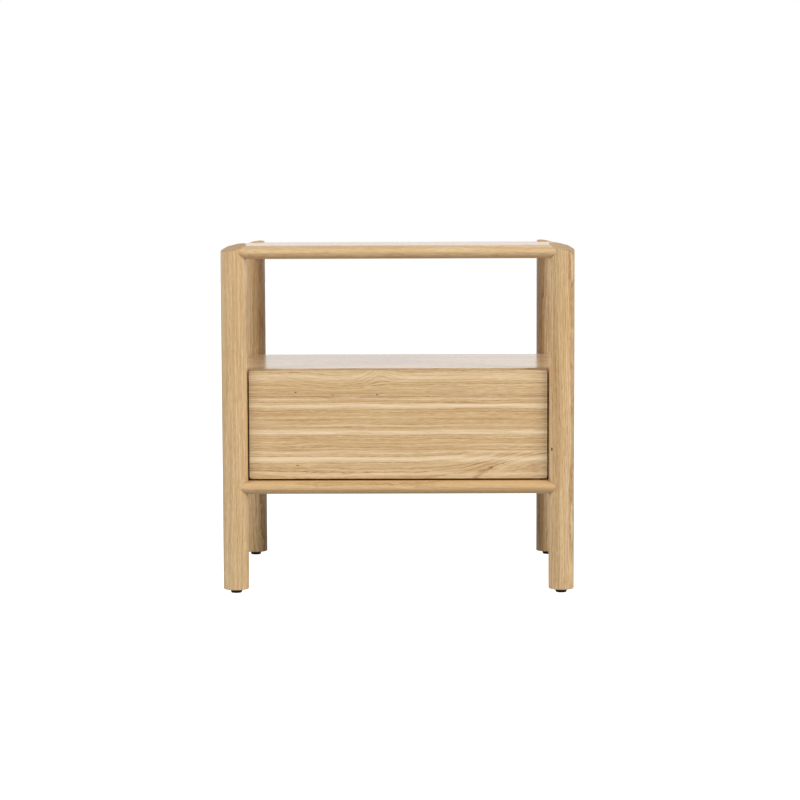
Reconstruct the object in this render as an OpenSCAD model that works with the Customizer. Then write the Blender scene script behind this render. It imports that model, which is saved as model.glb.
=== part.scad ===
// Nightstand: four round oak posts, a top, a shelf and a bottom board between them, and one
// drawer with no handle, on ball-bearing slides with a push latch.
// Millimetres. X runs across the front, Y from front to back and Z up.
// The origin is on the floor under the middle of the piece.

/* [Overall] */
// Width over the posts
body_w = 550; // [440:1:720]
// Depth over the posts
body_d = 440; // [350:1:560]

/* [Posts] */
// Diameter of a round post
post_d = 40; // [33:0.5:50]
// Tilt of the cut post ends, which fall to the outer corner, in degrees
end_tilt = 19.5; // [0:0.5:30]
// Drop of the cut end below the top board's face, on the post's centre line
end_drop = 3.3; // [0:0.1:8]

/* [Boards] */
// Thickness of the top, shelf and bottom boards
board_t = 21; // [17.5:0.5:28]
// Depth of the rounded nose on the edge of a board
nose_d = 15; // [6:0.5:18]
// Setback of the tip of the nose behind the faces of the posts
nose_back = 2; // [0:0.5:5]
// Clear height from the floor to the bottom board
leg_clear = 156; // [60:1:300]
// Clear height between the bottom board and the shelf
case_h = 153; // [120:1:260]
// Clear height of the open compartment
open_h = 172; // [100:1:300]

/* [Drawer case] */
// Thickness of a side panel
side_t = 18; // [12:1:22]
// Depth of the grooves in the posts that hold the side panels
groove_d = 5; // [3:0.5:8]
// Thickness of the back panel
back_t = 12; // [8:1:18]

/* [Drawer] */
// Thickness of the drawer front
front_t = 19; // [16:1:24]
// Gap beside the drawer front, to the posts
front_gap_x = 2; // [1:0.1:4]
// Gap under the drawer front, and its drop below the face of the shelf
front_gap_z = 2.2; // [1:0.1:5]
// Gap behind the drawer front, which lets it be pushed in
push_gap = 3; // [2.5:0.1:5]
// Radius of the corners of the drawer front
front_r = 3; // [0.5:0.5:8]
// Thickness of the walls of the drawer box
box_t = 12; // [10:1:16]
// Thickness of the bottom of the drawer box
floor_t = 6; // [4:0.5:8]
// Height of the drawer box's lower edge above the bottom board
box_under = 13; // [6:1:25]
// Space over the drawer box
box_over = 20; // [6:1:30]

/* [Slides] */
// Thickness of a closed slide
slide_t = 12.7; // [12.7:0.1:14]
// Height of a slide
slide_h = 45; // [38:1:52]
// Step between the lengths that slides come in
slide_step = 50; // [25:25:50]

/* [Fasteners and glides] */
// Diameter of a glide
glide_d = 20; // [16:1:30]
// Height of a glide
glide_h = 6; // [4:0.5:12]
// Diameter of the hanger bolts
bolt_d = 8; // [6:1:8]
// Diameter of the pockets that hold the nuts of the hanger bolts
pocket_d = 26; // [24:1:30]
// Diameter of the dowels in the case
dowel_d = 8; // [6:1:8]

/* [Latch] */
// Height of the latch's centre line above the bottom board
latch_rise = 28; // [24:1:40]
// Diameter of the latch's plunger
plunger_d = 11; // [10:0.5:12]

/* [Hidden] */
$fn = 64;

// Colours
oak = [0.82, 0.71, 0.55];
oak_post = [0.80, 0.68, 0.52];
birch = [0.86, 0.77, 0.62];
zinc = [0.72, 0.73, 0.74];
steel = [0.60, 0.61, 0.63];
black = [0.10, 0.11, 0.11];
grey = [0.55, 0.56, 0.57];

// Posts: centres, inner tangents and the faces of the drawer case
post_r = post_d / 2;
post_x = body_w / 2 - post_r;
post_y = body_d / 2 - post_r;
inner_x = post_x - post_r;
case_y = post_y - post_r;

// Levels, from the floor up
z_bottom = leg_clear;
z_case = z_bottom + board_t;
z_shelf = z_case + case_h;
z_open = z_shelf + board_t;
z_top = z_open + open_h;
z_face = z_top + board_t;
z_end = z_face - end_drop;

// Boards
board_x = body_w / 2 - nose_back;
board_y = body_d / 2 - nose_back;
nose_steps = 18;
big = 2 * post_d;

// Hanger bolts, measured from the post's centre along the corner's diagonal
bolt_from = 0.4 * post_r;
pocket_at = post_r + 46;
washer_t = 4.5;
nut_t = 6.5;
nut_af = 13;
bolt_play = 0.25;
pocket_over_nut = 0.5;
washer_from = pocket_at - pocket_d / 2;
nut_from = washer_from + washer_t;
bolt_to = nut_from + nut_t + 3;

// Dowels in the case
dowel_l = 30;
dowel_in_board = 14;
dowel_end_gap = 1;
dowel_pitch = case_y - 60;

// Back panel fasteners
back_dowel_d = 6;
back_dowel_l = 24;
back_pitch = inner_x - 55;

// Slides: x is measured from the packer towards the drawer
steel_t = 1.2;
cage_t = 0.5;
ball_d = 3.6;
ball_play = 0.1;
web_gap = 0.4;
outer_half = slide_h / 2;
outer_row = outer_half - steel_t - ball_play - ball_d / 2;
middle_half = outer_row - ball_play - ball_d / 2;
inner_row = middle_half - steel_t - ball_play - ball_d / 2;
inner_half = inner_row - ball_play - ball_d / 2;
outer_cage_x = steel_t + web_gap;
middle_x = outer_cage_x + cage_t + web_gap;
inner_cage_x = middle_x + steel_t + web_gap;
flange_w = 10;
middle_w = 8;
inner_w = slide_t - inner_cage_x - cage_t - web_gap;
outer_ball_x = outer_cage_x + 4.4;
inner_ball_x = inner_cage_x + 3.4;

// Where the slides and the drawer box stand
slide_inset = 1;
slide_x = inner_x - slide_inset;
box_x = slide_x - slide_t;
box_in_x = box_x - box_t;
front_y = -case_y - push_gap;
box_past_slide = 2;
tip_out = 5.5;
housing_l = 47;
strike_t = 1.5;
tip_gap = 0.3;
magnet_proud = 0.5;
latch_room = box_past_slide + strike_t + tip_gap + magnet_proud + tip_out + housing_l + 1;
slide_l = slide_step * floor((2 * case_y - latch_room) / slide_step);
slide_y = -case_y;
box_l = slide_l + push_gap + box_past_slide;
box_end_y = front_y + box_l;
z_box = z_case + box_under;
box_h = case_h - box_under - box_over;
z_slide = z_box + box_h / 2;
floor_up = 10;
floor_groove = box_t / 2;
z_floor = z_box + floor_up;
cage_l = slide_l / 2 - 6;
cage_y = slide_y + slide_l / 4 + 3;
balls_in_row = 7;
slide_screw_pitch = slide_l / 2 - 30;

// Packers between the side panels and the slides
packer_t = post_x - side_t / 2 - slide_x;
packer_h = slide_h + 25;
packer_l = slide_l + 20;
packer_screw_z = slide_h / 2 + 6.5;

// Drawer front
front_x = inner_x - front_gap_x;
z_front = z_case + front_gap_z;
front_h = z_open - front_gap_z - z_front;
front_screw_x = box_in_x - 60;

// Small dowels of the drawer box
box_dowel_d = 6;
box_dowel_l = 24;
box_dowel_in_side = 8;

// Screws: diameter, length, head diameter and head height
packer_screw = [4, packer_t + side_t - 5, 8, 2.4];
front_screw = [4, box_t + front_t - 5, 8, 2.4];
back_screw = [4, back_t + 23, 8, 2.4];
slide_screw = [3.5, 9, 6.4, steel_t];
nail = [2.5, 20, 7, 1.2];
nail_recess = 2;

// Latch
z_latch = z_case + latch_rise;
magnet_d = 8;
magnet_t = 2;
plunger_play = 0.05;
plunger_travel = 2;
plunger_l = 36;
plunger_bore = 8.6;
plunger_wall = 7;
tip_y = box_end_y + strike_t + tip_gap;
plunger_y = tip_y + magnet_proud;
housing_y = plunger_y + tip_out;
housing_d = 18;
housing_bore_l = 44;
housing_foot_t = 3;
housing_foot_x = 20;
latch_screw_x = 14;
latch_screw = [3.5, housing_foot_t + board_t - 8, 7, 2.2];
strike_x = 20;
strike_down = 11;
strike_up = 5;
strike_screw_x = 14;
z_strike_screw = z_floor + floor_t + 5;
spring_d = 8;
spring_wire = 0.9;
spring_y = plunger_y + plunger_wall + plunger_travel + 0.4;
spring_l = housing_y + housing_bore_l - spring_y;
spring_turns = 7;
turn_steps = 12;
wire_sides = 6;

// ---------------------------------------------------------------- placing

// Turns a flat outline (x, z) into a solid that runs along Y
module along_y(y0, y1) {
    translate([0, y1, 0]) rotate([90, 0, 0]) linear_extrude(y1 - y0) children();
}

// Turns a flat outline (y, z) into a solid that runs along X
module along_x(x0, x1) {
    translate([x0, 0, 0]) rotate([90, 0, 90]) linear_extrude(x1 - x0) children();
}

// A box from one corner to the other
module block(low, high) {
    translate(low) cube(high - low);
}

// Right-hand pieces are drawn as they are, left-hand ones are mirrored
module on_side(side) {
    if (side > 0) children();
    else mirror([1, 0, 0]) children();
}

module both_sides() {
    for (side = [-1, 1]) on_side(side) children();
}

// A post's centre, with x pointing out along the corner's diagonal
module at_corner(sx, sy) {
    translate([sx * post_x, sy * post_y, 0]) rotate([0, 0, atan2(sy, sx)]) children();
}

module at_corners() {
    for (sx = [-1, 1]) for (sy = [-1, 1]) at_corner(sx, sy) children();
}

// The right slide's own place: x from the packer towards the drawer, z from its middle
module in_slide() {
    translate([slide_x, 0, z_slide]) mirror([1, 0, 0]) children();
}

// ---------------------------------------------------------------- fasteners

// A countersunk screw or its hole, pointing down from a head that is flush with z = 0
module screw_shape(size, extra = 0) {
    translate([0, 0, -size[3]]) cylinder(d1 = size[0], d2 = size[2], h = size[3]);
    translate([0, 0, -size[1] - extra]) cylinder(d = size[0], h = size[1] + extra - size[3] / 2);
}

module screw(size) {
    socket_d = 0.45 * size[2];
    difference() {
        screw_shape(size);
        translate([0, 0, -0.7 * size[3]]) cylinder(d = socket_d, h = size[3], $fn = 6);
    }
}

// ---------------------------------------------------------------- posts

module bolt_in_post(z) {
    translate([-bolt_from, 0, z]) rotate([0, -90, 0]) cylinder(d = bolt_d, h = post_r);
}

module post(sx, sy) {
    color(oak_post)
    difference() {
        at_corner(sx, sy) difference() {
            translate([0, 0, glide_h]) cylinder(d = post_d, h = z_face + post_r - glide_h);
            translate([0, 0, z_end]) rotate([0, end_tilt, 0])
                translate([-big, -big, 0]) cube([2 * big, 2 * big, big]);
            bolt_in_post(z_bottom + board_t / 2);
            bolt_in_post(z_top + board_t / 2);
            nail_shape();
        }
        on_side(sx) side_panel_blank();
    }
}

module post_front_left() post(-1, -1);
module post_front_right() post(1, -1);
module post_rear_left() post(-1, 1);
module post_rear_right() post(1, 1);

// ---------------------------------------------------------------- boards

// Cross-section of a board with an elliptical nose on both edges, centred on its mid-plane
function board_outline(half) = concat(
    [for (i = [0:nose_steps]) let (a = -90 + 180 * i / nose_steps)
        [half - nose_d + nose_d * cos(a), board_t / 2 * sin(a)]],
    [for (i = [0:nose_steps]) let (a = 90 + 180 * i / nose_steps)
        [-half + nose_d + nose_d * cos(a), board_t / 2 * sin(a)]]
);

// The round notch that fits a board's corner to its post, and all that lies outside it
module post_notch() {
    cylinder(d = post_d, h = 3 * board_t, center = true);
    rotate([0, 0, -45]) translate([0, 0, -1.5 * board_t]) cube([big, big, 3 * board_t]);
}

// Clearance hole for a hanger bolt, and the pocket for its nut, open at the underside
module bolt_seat() {
    translate([-post_r + 1, 0, 0]) rotate([0, -90, 0])
        cylinder(d = bolt_d + 2 * bolt_play, h = pocket_at - post_r);
    translate([-pocket_at, 0, -board_t])
        cylinder(d = pocket_d, h = board_t + nut_af / 2 + pocket_over_nut);
}

// A board notched around the four posts, with its underside at z
module corner_board(z) {
    translate([0, 0, z + board_t / 2]) difference() {
        intersection() {
            along_y(-board_y, board_y) polygon(board_outline(board_x));
            along_x(-board_x, board_x) polygon(board_outline(board_y));
        }
        at_corners() post_notch();
        at_corners() bolt_seat();
    }
}

module top_board() color(oak) corner_board(z_top);

module bottom_board() color(oak)
difference() {
    corner_board(z_bottom);
    case_dowel_set(dowel_end_gap);
    back_dowel_set(dowel_end_gap);
    latch_screw_set() screw_shape(latch_screw);
}

module shelf_board() color(oak)
difference() {
    translate([0, 0, z_shelf + board_t / 2])
        along_y(-case_y, case_y) polygon(board_outline(board_x));
    case_dowel_set(dowel_end_gap);
    back_screw_set() screw_shape(back_screw);
}

// ---------------------------------------------------------------- hanger bolts

module bolts_at(z) color(zinc)
at_corners() translate([-bolt_from, 0, z]) rotate([0, -90, 0])
    cylinder(d = bolt_d, h = bolt_to - bolt_from);

// Half-moon washer: round to fit the wall of the pocket, flat towards the nut
module washers_at(z) color(zinc)
at_corners() difference() {
    intersection() {
        translate([-pocket_at, 0, z - nut_af / 2]) cylinder(d = pocket_d, h = nut_af);
        block([-nut_from, -pocket_d, z - nut_af], [0, pocket_d, z + nut_af]);
    }
    translate([0, 0, z]) rotate([0, -90, 0]) cylinder(d = bolt_d + 2 * bolt_play, h = pocket_at);
}

module nuts_at(z) color(zinc)
at_corners() translate([-nut_from, 0, z]) rotate([0, -90, 0]) difference() {
    rotate([0, 0, 30]) cylinder(d = nut_af / cos(30), h = nut_t, $fn = 6);
    translate([0, 0, -1]) cylinder(d = bolt_d, h = nut_t + 2);
}

module top_hanger_bolts() bolts_at(z_top + board_t / 2);
module top_bolt_washers() washers_at(z_top + board_t / 2);
module top_bolt_nuts() nuts_at(z_top + board_t / 2);
module bottom_hanger_bolts() bolts_at(z_bottom + board_t / 2);
module bottom_bolt_washers() washers_at(z_bottom + board_t / 2);
module bottom_bolt_nuts() nuts_at(z_bottom + board_t / 2);

// ---------------------------------------------------------------- glides

module nail_shape() {
    translate([0, 0, nail_recess]) cylinder(d = nail[2], h = nail[3]);
    translate([0, 0, nail_recess]) cylinder(d = nail[0], h = nail[1]);
}

module glides() color(black)
at_corners() difference() {
    union() {
        cylinder(d1 = glide_d - 4, d2 = glide_d, h = 0.6 * glide_h);
        translate([0, 0, 0.6 * glide_h]) cylinder(d = glide_d, h = 0.4 * glide_h);
    }
    translate([0, 0, -1]) cylinder(d = nail[2], h = nail_recess + nail[3] + 1);
    nail_shape();
}

module glide_nails() color(zinc)
at_corners() nail_shape();

// ---------------------------------------------------------------- drawer case

// Right side panel before drilling, which also cuts the grooves in the posts
module side_panel_blank() {
    block([post_x - side_t / 2, -case_y - groove_d, z_case],
          [post_x + side_t / 2, case_y + groove_d, z_shelf]);
}

module side_panel(side) color(oak)
difference() {
    on_side(side) side_panel_blank();
    case_dowel_set(dowel_end_gap);
    packer_screw_set() screw_shape(packer_screw);
}

module side_panel_left() side_panel(-1);
module side_panel_right() side_panel(1);

// Dowels between the side panels and the boards, or their holes with a gap at each end
module case_dowel_set(end_gap = 0) {
    for (side = [-1, 1]) for (y = [-dowel_pitch, 0, dowel_pitch]) translate([side * post_x, y, 0]) {
        translate([0, 0, z_case - dowel_in_board - end_gap])
            cylinder(d = dowel_d, h = dowel_l + 2 * end_gap);
        translate([0, 0, z_shelf + dowel_in_board - dowel_l - end_gap])
            cylinder(d = dowel_d, h = dowel_l + 2 * end_gap);
    }
}

module case_dowels() color(birch) case_dowel_set();

module back_panel() color(oak)
difference() {
    block([-front_x, case_y, z_case], [front_x, case_y + back_t, z_front + front_h]);
    back_dowel_set(dowel_end_gap);
    back_screw_set() screw_shape(back_screw);
}

module back_dowel_set(end_gap = 0) {
    for (x = [-back_pitch, 0, back_pitch])
        translate([x, case_y + back_t / 2, z_case - back_dowel_l / 2 - end_gap])
            cylinder(d = back_dowel_d, h = back_dowel_l + 2 * end_gap);
}

module back_panel_dowels() color(birch) back_dowel_set();

module back_screw_set() {
    for (x = [-back_pitch, 0, back_pitch])
        translate([x, case_y + back_t, z_shelf + board_t / 2]) rotate([-90, 0, 0]) children();
}

module back_panel_screws() color(zinc) back_screw_set() screw(back_screw);

// ---------------------------------------------------------------- packers

module packer(side) color(birch)
difference() {
    on_side(side) block([slide_x, slide_y, z_slide - packer_h / 2],
                        [slide_x + packer_t, slide_y + packer_l, z_slide + packer_h / 2]);
    packer_screw_set() screw_shape(packer_screw);
    outer_screw_set() screw_shape(slide_screw);
}

module slide_packer_left() packer(-1);
module slide_packer_right() packer(1);

module packer_screw_set() {
    both_sides() for (y = [slide_y + 20, slide_y + packer_l - 20])
        for (dz = [-packer_screw_z, packer_screw_z])
            translate([slide_x, y, z_slide + dz]) rotate([0, -90, 0]) children();
}

module packer_screws() color(zinc) packer_screw_set() screw(packer_screw);

// ---------------------------------------------------------------- slides

// Channel section from x0 to x0 + w, with its web at x0 or, where web_far, at the other side
module channel(half, x0, w, web_far = false) {
    web_x = web_far ? x0 + w - steel_t : x0;
    translate([web_x, -half]) square([steel_t, 2 * half]);
    for (z = [-half, half - steel_t]) translate([x0, z]) square([w, steel_t]);
}

module slide_rail(side, half, x0, w, web_far = false) color(zinc)
on_side(side) in_slide() along_y(slide_y, slide_y + slide_l) channel(half, x0, w, web_far);

// Screw holes along the slide, pointing from the channel's web into the wood
module outer_screw_set() {
    both_sides() for (y = [-slide_screw_pitch, 0, slide_screw_pitch])
        in_slide() translate([steel_t, slide_y + slide_l / 2 + y, 0]) rotate([0, 90, 0]) children();
}

module inner_screw_set() {
    both_sides() for (y = [-slide_screw_pitch, 0, slide_screw_pitch])
        in_slide() translate([slide_t - steel_t, slide_y + slide_l / 2 + y, 0]) rotate([0, -90, 0])
            children();
}

module slide_outer(side) color(zinc)
difference() {
    slide_rail(side, outer_half, 0, flange_w);
    outer_screw_set() screw_shape(slide_screw);
}

module slide_inner(side) color(zinc)
difference() {
    slide_rail(side, inner_half, slide_t - inner_w, inner_w, true);
    inner_screw_set() screw_shape(slide_screw);
}

module slide_outer_left() slide_outer(-1);
module slide_outer_right() slide_outer(1);
module slide_middle_left() slide_rail(-1, middle_half, middle_x, middle_w);
module slide_middle_right() slide_rail(1, middle_half, middle_x, middle_w);
module slide_inner_left() slide_inner(-1);
module slide_inner_right() slide_inner(1);
module slide_outer_screws() color(steel) outer_screw_set() screw(slide_screw);
module slide_inner_screws() color(steel) inner_screw_set() screw(slide_screw);

// Balls of one row on both slides, above and below the middle
module ball_set(x, row, d) {
    both_sides() in_slide() for (i = [0:balls_in_row - 1]) for (z = [-row, row])
        translate([x, cage_y + cage_l * (i + 0.5) / balls_in_row, z]) sphere(d = d, $fn = 24);
}

// Thin channel that spaces the balls, with a round hole for each
module cage_set(x, row, ball_x) color(steel)
difference() {
    both_sides() in_slide() along_y(cage_y, cage_y + cage_l) {
        translate([x, -row - cage_t / 2]) square([cage_t, 2 * row + cage_t]);
        for (z = [-row, row]) translate([x, z - cage_t / 2]) square([ball_x - x + 3, cage_t]);
    }
    both_sides() in_slide() for (i = [0:balls_in_row - 1])
        translate([ball_x, cage_y + cage_l * (i + 0.5) / balls_in_row, -row - 1])
            cylinder(d = ball_d, h = 2 * row + 2);
}

module outer_ball_cages() cage_set(outer_cage_x, outer_row, outer_ball_x);
module inner_ball_cages() cage_set(inner_cage_x, inner_row, inner_ball_x);
module outer_balls() color(steel) ball_set(outer_ball_x, outer_row, ball_d);
module inner_balls() color(steel) ball_set(inner_ball_x, inner_row, ball_d);

// ---------------------------------------------------------------- drawer

module rounded_rect(w, h, r) {
    square([w - 2 * r, h], center = true);
    square([w, h - 2 * r], center = true);
    for (x = [r - w / 2, w / 2 - r]) for (y = [r - h / 2, h / 2 - r]) translate([x, y]) circle(r);
}

module drawer_front() color(oak)
difference() {
    translate([0, 0, z_front + front_h / 2])
        along_y(front_y - front_t, front_y) rounded_rect(2 * front_x, front_h, front_r);
    front_screw_set() screw_shape(front_screw);
}

module front_screw_set() {
    for (x = [-front_screw_x, front_screw_x]) for (dz = [-box_h / 4, box_h / 4])
        translate([x, front_y + box_t, z_slide + dz]) rotate([-90, 0, 0]) children();
}

module drawer_front_screws() color(zinc) front_screw_set() screw(front_screw);

// The bottom of the box, which also cuts its grooves
module floor_blank() {
    edge = box_t - floor_groove;
    block([-box_x + edge, front_y + edge, z_floor],
          [box_x - edge, box_end_y - edge, z_floor + floor_t]);
}

module box_front() color(birch)
difference() {
    block([-box_in_x, front_y, z_box], [box_in_x, front_y + box_t, z_box + box_h]);
    floor_blank();
    box_dowel_set();
    front_screw_set() screw_shape(front_screw);
}

module box_back() color(birch)
difference() {
    block([-box_in_x, box_end_y - box_t, z_box], [box_in_x, box_end_y, z_box + box_h]);
    floor_blank();
    box_dowel_set();
    strike_screw_set() screw_shape(slide_screw);
}

module box_side(side) color(birch)
difference() {
    on_side(side) block([box_in_x, front_y, z_box], [box_x, box_end_y, z_box + box_h]);
    floor_blank();
    box_dowel_set();
    inner_screw_set() screw_shape(slide_screw);
}

module box_side_left() box_side(-1);
module box_side_right() box_side(1);
module box_bottom() color(birch) floor_blank();

module box_dowel_set() {
    both_sides() for (y = [front_y + box_t / 2, box_end_y - box_t / 2])
        for (z = [z_floor + floor_t + 14, z_box + box_h - 24])
            translate([box_in_x + box_dowel_in_side, y, z]) rotate([0, -90, 0])
                cylinder(d = box_dowel_d, h = box_dowel_l);
}

module box_dowels() color(birch) box_dowel_set();

// ---------------------------------------------------------------- push latch

// Housing on the bottom board, with a blind bore that opens towards the drawer
module latch_housing() color(grey)
difference() {
    union() {
        block([-housing_foot_x, housing_y, z_case],
              [housing_foot_x, housing_y + housing_l, z_case + housing_foot_t]);
        block([-housing_d / 3, housing_y, z_case], [housing_d / 3, housing_y + housing_l, z_latch]);
        translate([0, housing_y, z_latch]) rotate([-90, 0, 0]) cylinder(d = housing_d, h = housing_l);
    }
    translate([0, housing_y - 1, z_latch]) rotate([-90, 0, 0])
        cylinder(d = plunger_d + 2 * plunger_play, h = housing_bore_l + 1);
    latch_screw_set() screw_shape(latch_screw);
}

module latch_screw_set() {
    for (x = [-latch_screw_x, latch_screw_x])
        translate([x, housing_y + housing_l / 2, z_case + housing_foot_t]) children();
}

module latch_screws() color(zinc) latch_screw_set() screw(latch_screw);

// Hollow plunger, open towards the spring, with a recess for the magnet in its tip
module latch_plunger() color(black)
translate([0, plunger_y, z_latch]) rotate([-90, 0, 0]) difference() {
    cylinder(d = plunger_d, h = plunger_l);
    translate([0, 0, plunger_wall]) cylinder(d = plunger_bore, h = plunger_l);
    translate([0, 0, -1]) cylinder(d = magnet_d, h = 1 + magnet_t - magnet_proud);
}

module latch_magnet() color(steel)
translate([0, tip_y, z_latch]) rotate([-90, 0, 0]) cylinder(d = magnet_d, h = magnet_t);

// Coil spring: a wire of wire_sides flats swept along a helix
function spring_ring(i) = let (
    a = 360 * i / turn_steps,
    r = spring_d / 2 - spring_wire / 2,
    rise = spring_wire / 2 + (spring_l - spring_wire) * i / (spring_turns * turn_steps)
) [for (k = [0:wire_sides - 1]) let (b = 360 * k / wire_sides, q = r + spring_wire / 2 * cos(b))
    [q * cos(a), q * sin(a), rise + spring_wire / 2 * sin(b)]];

module latch_spring() color(zinc)
translate([0, spring_y, z_latch]) rotate([-90, 0, 0]) {
    rings = spring_turns * turn_steps;
    points = [for (i = [0:rings]) each spring_ring(i)];
    sides = [for (i = [0:rings - 1]) for (k = [0:wire_sides - 1]) let (
        a = i * wire_sides + k,
        b = i * wire_sides + (k + 1) % wire_sides
    ) [a, a + wire_sides, b + wire_sides, b]];
    first = [for (k = [0:wire_sides - 1]) k];
    last = [for (k = [wire_sides - 1:-1:0]) rings * wire_sides + k];
    polyhedron(points = points, faces = concat(sides, [first], [last]));
}

module strike_plate() color(zinc)
difference() {
    block([-strike_x, box_end_y, z_latch - strike_down],
          [strike_x, box_end_y + strike_t, z_strike_screw + strike_up]);
    strike_screw_set() screw_shape(slide_screw);
}

module strike_screw_set() {
    for (x = [-strike_screw_x, strike_screw_x])
        translate([x, box_end_y + strike_t, z_strike_screw]) rotate([-90, 0, 0]) children();
}

module strike_screws() color(steel) strike_screw_set() screw(slide_screw);

// ---------------------------------------------------------------- nodes

post_front_left();
post_front_right();
post_rear_left();
post_rear_right();
top_board();
shelf_board();
bottom_board();
side_panel_left();
side_panel_right();
back_panel();
top_hanger_bolts();
top_bolt_washers();
top_bolt_nuts();
bottom_hanger_bolts();
bottom_bolt_washers();
bottom_bolt_nuts();
case_dowels();
back_panel_dowels();
back_panel_screws();
glides();
glide_nails();
slide_packer_left();
slide_packer_right();
packer_screws();
slide_outer_left();
slide_outer_right();
slide_outer_screws();
slide_middle_left();
slide_middle_right();
slide_inner_left();
slide_inner_right();
slide_inner_screws();
outer_ball_cages();
outer_balls();
inner_ball_cages();
inner_balls();
drawer_front();
box_front();
box_back();
box_side_left();
box_side_right();
box_bottom();
box_dowels();
drawer_front_screws();
latch_housing();
latch_plunger();
latch_magnet();
latch_spring();
latch_screws();
strike_plate();
strike_screws();
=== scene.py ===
import math

import bmesh
import bpy
from mathutils import Euler, Matrix, Vector


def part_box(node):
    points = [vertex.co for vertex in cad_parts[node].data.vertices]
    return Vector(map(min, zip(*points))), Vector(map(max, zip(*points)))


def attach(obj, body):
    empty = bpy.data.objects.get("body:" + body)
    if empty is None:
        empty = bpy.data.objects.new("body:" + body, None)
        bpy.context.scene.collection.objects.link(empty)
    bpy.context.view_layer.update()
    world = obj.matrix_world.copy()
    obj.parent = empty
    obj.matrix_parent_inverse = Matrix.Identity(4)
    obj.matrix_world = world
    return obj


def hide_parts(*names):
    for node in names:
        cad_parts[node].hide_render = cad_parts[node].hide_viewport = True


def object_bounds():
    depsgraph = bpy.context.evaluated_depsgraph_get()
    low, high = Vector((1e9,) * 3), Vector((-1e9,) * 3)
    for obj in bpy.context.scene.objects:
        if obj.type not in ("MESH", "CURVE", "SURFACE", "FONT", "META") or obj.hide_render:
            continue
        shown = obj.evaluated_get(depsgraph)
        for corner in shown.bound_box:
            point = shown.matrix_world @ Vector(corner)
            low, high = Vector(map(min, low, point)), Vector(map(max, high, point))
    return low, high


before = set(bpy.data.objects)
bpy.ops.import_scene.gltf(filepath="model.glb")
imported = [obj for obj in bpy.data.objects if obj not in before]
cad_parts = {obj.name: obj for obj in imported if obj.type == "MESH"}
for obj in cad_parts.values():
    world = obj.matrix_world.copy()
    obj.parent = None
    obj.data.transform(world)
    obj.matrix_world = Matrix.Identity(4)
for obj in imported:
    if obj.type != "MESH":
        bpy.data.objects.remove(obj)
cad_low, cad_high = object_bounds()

# ------------------------------------------------------------------ camera
# A long lens from 3.7 m in front, a little above the top board, and very slightly turned,
# tipped and rolled. The heights and distances are in metres.
camera_data = bpy.data.cameras.new("camera")
camera_data.lens = 101.03
camera_data.clip_end = 60.0
camera = bpy.data.objects.new("camera", camera_data)
camera_place = Vector((0.0479, -3.6914, 0.5919))
camera_pitch, camera_roll, camera_yaw = 0.08263, -0.00372, 0.01282
camera_turn = Euler((math.pi / 2 - camera_pitch, 0.0, camera_yaw)).to_matrix().to_4x4()
camera.matrix_world = Matrix.Translation(camera_place) @ camera_turn @ Matrix.Rotation(camera_roll, 4, "Z")
bpy.context.collection.objects.link(camera)
bpy.context.scene.camera = camera
bpy.context.scene.view_settings.view_transform = "Standard"


# ------------------------------------------------------------------ studio
# A pale floor and white surroundings, which the satin lacquer mirrors at low angles, and two
# large softboxes in front, one at each side, high above the nightstand. Nothing mirrors them.
def clear_selection():
    """Leaves nothing selected."""
    for each in bpy.context.selected_objects:
        each.select_set(False)


def new_node(tree, kind, ins=None, **settings):
    """A node with its settings made and its inputs linked or set; ins maps a socket to either."""
    node = tree.nodes.new(kind)
    for key, value in settings.items():
        setattr(node, key, value)
    for key, value in (ins or {}).items():
        if isinstance(value, bpy.types.NodeSocket):
            tree.links.new(value, node.inputs[key])
        else:
            node.inputs[key].default_value = value
    return node


def maths(tree, operation, *values):
    """The result of a Math node on up to three numbers or sockets."""
    ins = dict(enumerate(values))
    return new_node(tree, "ShaderNodeMath", ins, operation=operation).outputs[0]


world = bpy.data.worlds.new("studio")
bpy.context.scene.world = world
world.use_nodes = True
world_tree = world.node_tree
world_rays = new_node(world_tree, "ShaderNodeLightPath")
seen_white, cast_light = 1.0, 0.22
shown = maths(world_tree, "MAXIMUM", world_rays.outputs["Is Camera Ray"], world_rays.outputs["Is Glossy Ray"])
world_level = maths(world_tree, "MULTIPLY_ADD", shown, seen_white - cast_light, cast_light)
world_tree.links.new(world_level, world_tree.nodes["Background"].inputs["Strength"])
world_tree.nodes["Background"].inputs["Color"].default_value = (1.0, 1.0, 1.0, 1.0)


def softbox(name, place, aim, size, watts):
    """A square area light, turned to a point, that mirror-like surfaces don't show."""
    light = bpy.data.lights.new(name, "AREA")
    light.shape, light.size, light.energy = "SQUARE", size, watts
    lamp = bpy.data.objects.new(name, light)
    lamp.location = place
    lamp.visible_glossy = False
    lamp.rotation_euler = (Vector(aim) - Vector(place)).to_track_quat("-Z", "Y").to_euler()
    bpy.context.collection.objects.link(lamp)


body_middle = (cad_low + cad_high) / 2
softbox("softbox_left", (-3.2, -2.4, 2.2), body_middle, 1.8, 107.0)
softbox("softbox_right", (3.5, -2.2, 2.3), body_middle, 1.8, 162.0)

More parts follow.
